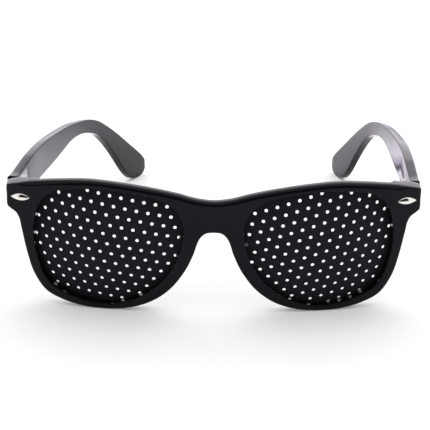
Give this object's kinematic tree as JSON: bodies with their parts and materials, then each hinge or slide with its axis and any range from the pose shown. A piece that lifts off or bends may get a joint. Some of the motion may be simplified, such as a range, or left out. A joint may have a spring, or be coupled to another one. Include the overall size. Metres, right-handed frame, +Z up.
{
  "type": "pinhole glasses",
  "caption": "Black moulded glasses with domed sheets of small pinholes in place of lenses, metal corner plates and folding arms.",
  "frame": {"origin": "on the table that the glasses stand on, straight below the middle of the bridge, level with the middles of the lens sheets", "axes": "+X to the wearer's left, which is the right of the picture; +Y back toward the wearer's ears; +Z up"},
  "size_m": [0.148, 0.1541, 0.0488],
  "materials": {
    "frame_plastic": "polished black moulding",
    "lens_sheet": "black sheet, punched, with a soft gloss",
    "trim_metal": "polished warm plating",
    "hinge_metal": "nickel-plated stamping",
    "screw_metal": "bright turned steel"
  },
  "bodies": {
    "front": {"front_frame": "frame_plastic", "left_pinhole_lens": "lens_sheet", "right_pinhole_lens": "lens_sheet", "left_corner_trim": "trim_metal", "right_corner_trim": "trim_metal", "left_front_hinge_leaf": "hinge_metal", "right_front_hinge_leaf": "hinge_metal", "left_hinge_screw": "screw_metal", "right_hinge_screw": "screw_metal"},
    "left_arm": {"left_temple_arm": "frame_plastic", "left_temple_hinge_leaf": "hinge_metal", "left_temple_trim": "trim_metal"},
    "right_arm": {"right_temple_arm": "frame_plastic", "right_temple_hinge_leaf": "hinge_metal", "right_temple_trim": "trim_metal"}
  },
  "joints": [
    {"name": "left_temple_fold", "type": "hinge", "parent": "front", "child": "left_arm", "pos_m": [-0.067, 0.01334, 0.04088], "axis": [0, 0, -1], "range_deg": [-11, 75.7]},
    {"name": "right_temple_fold", "type": "hinge", "parent": "front", "child": "right_arm", "pos_m": [0.067, 0.01334, 0.04088], "axis": [0, 0, 1], "range_deg": [0, 79.2]}
  ]
}
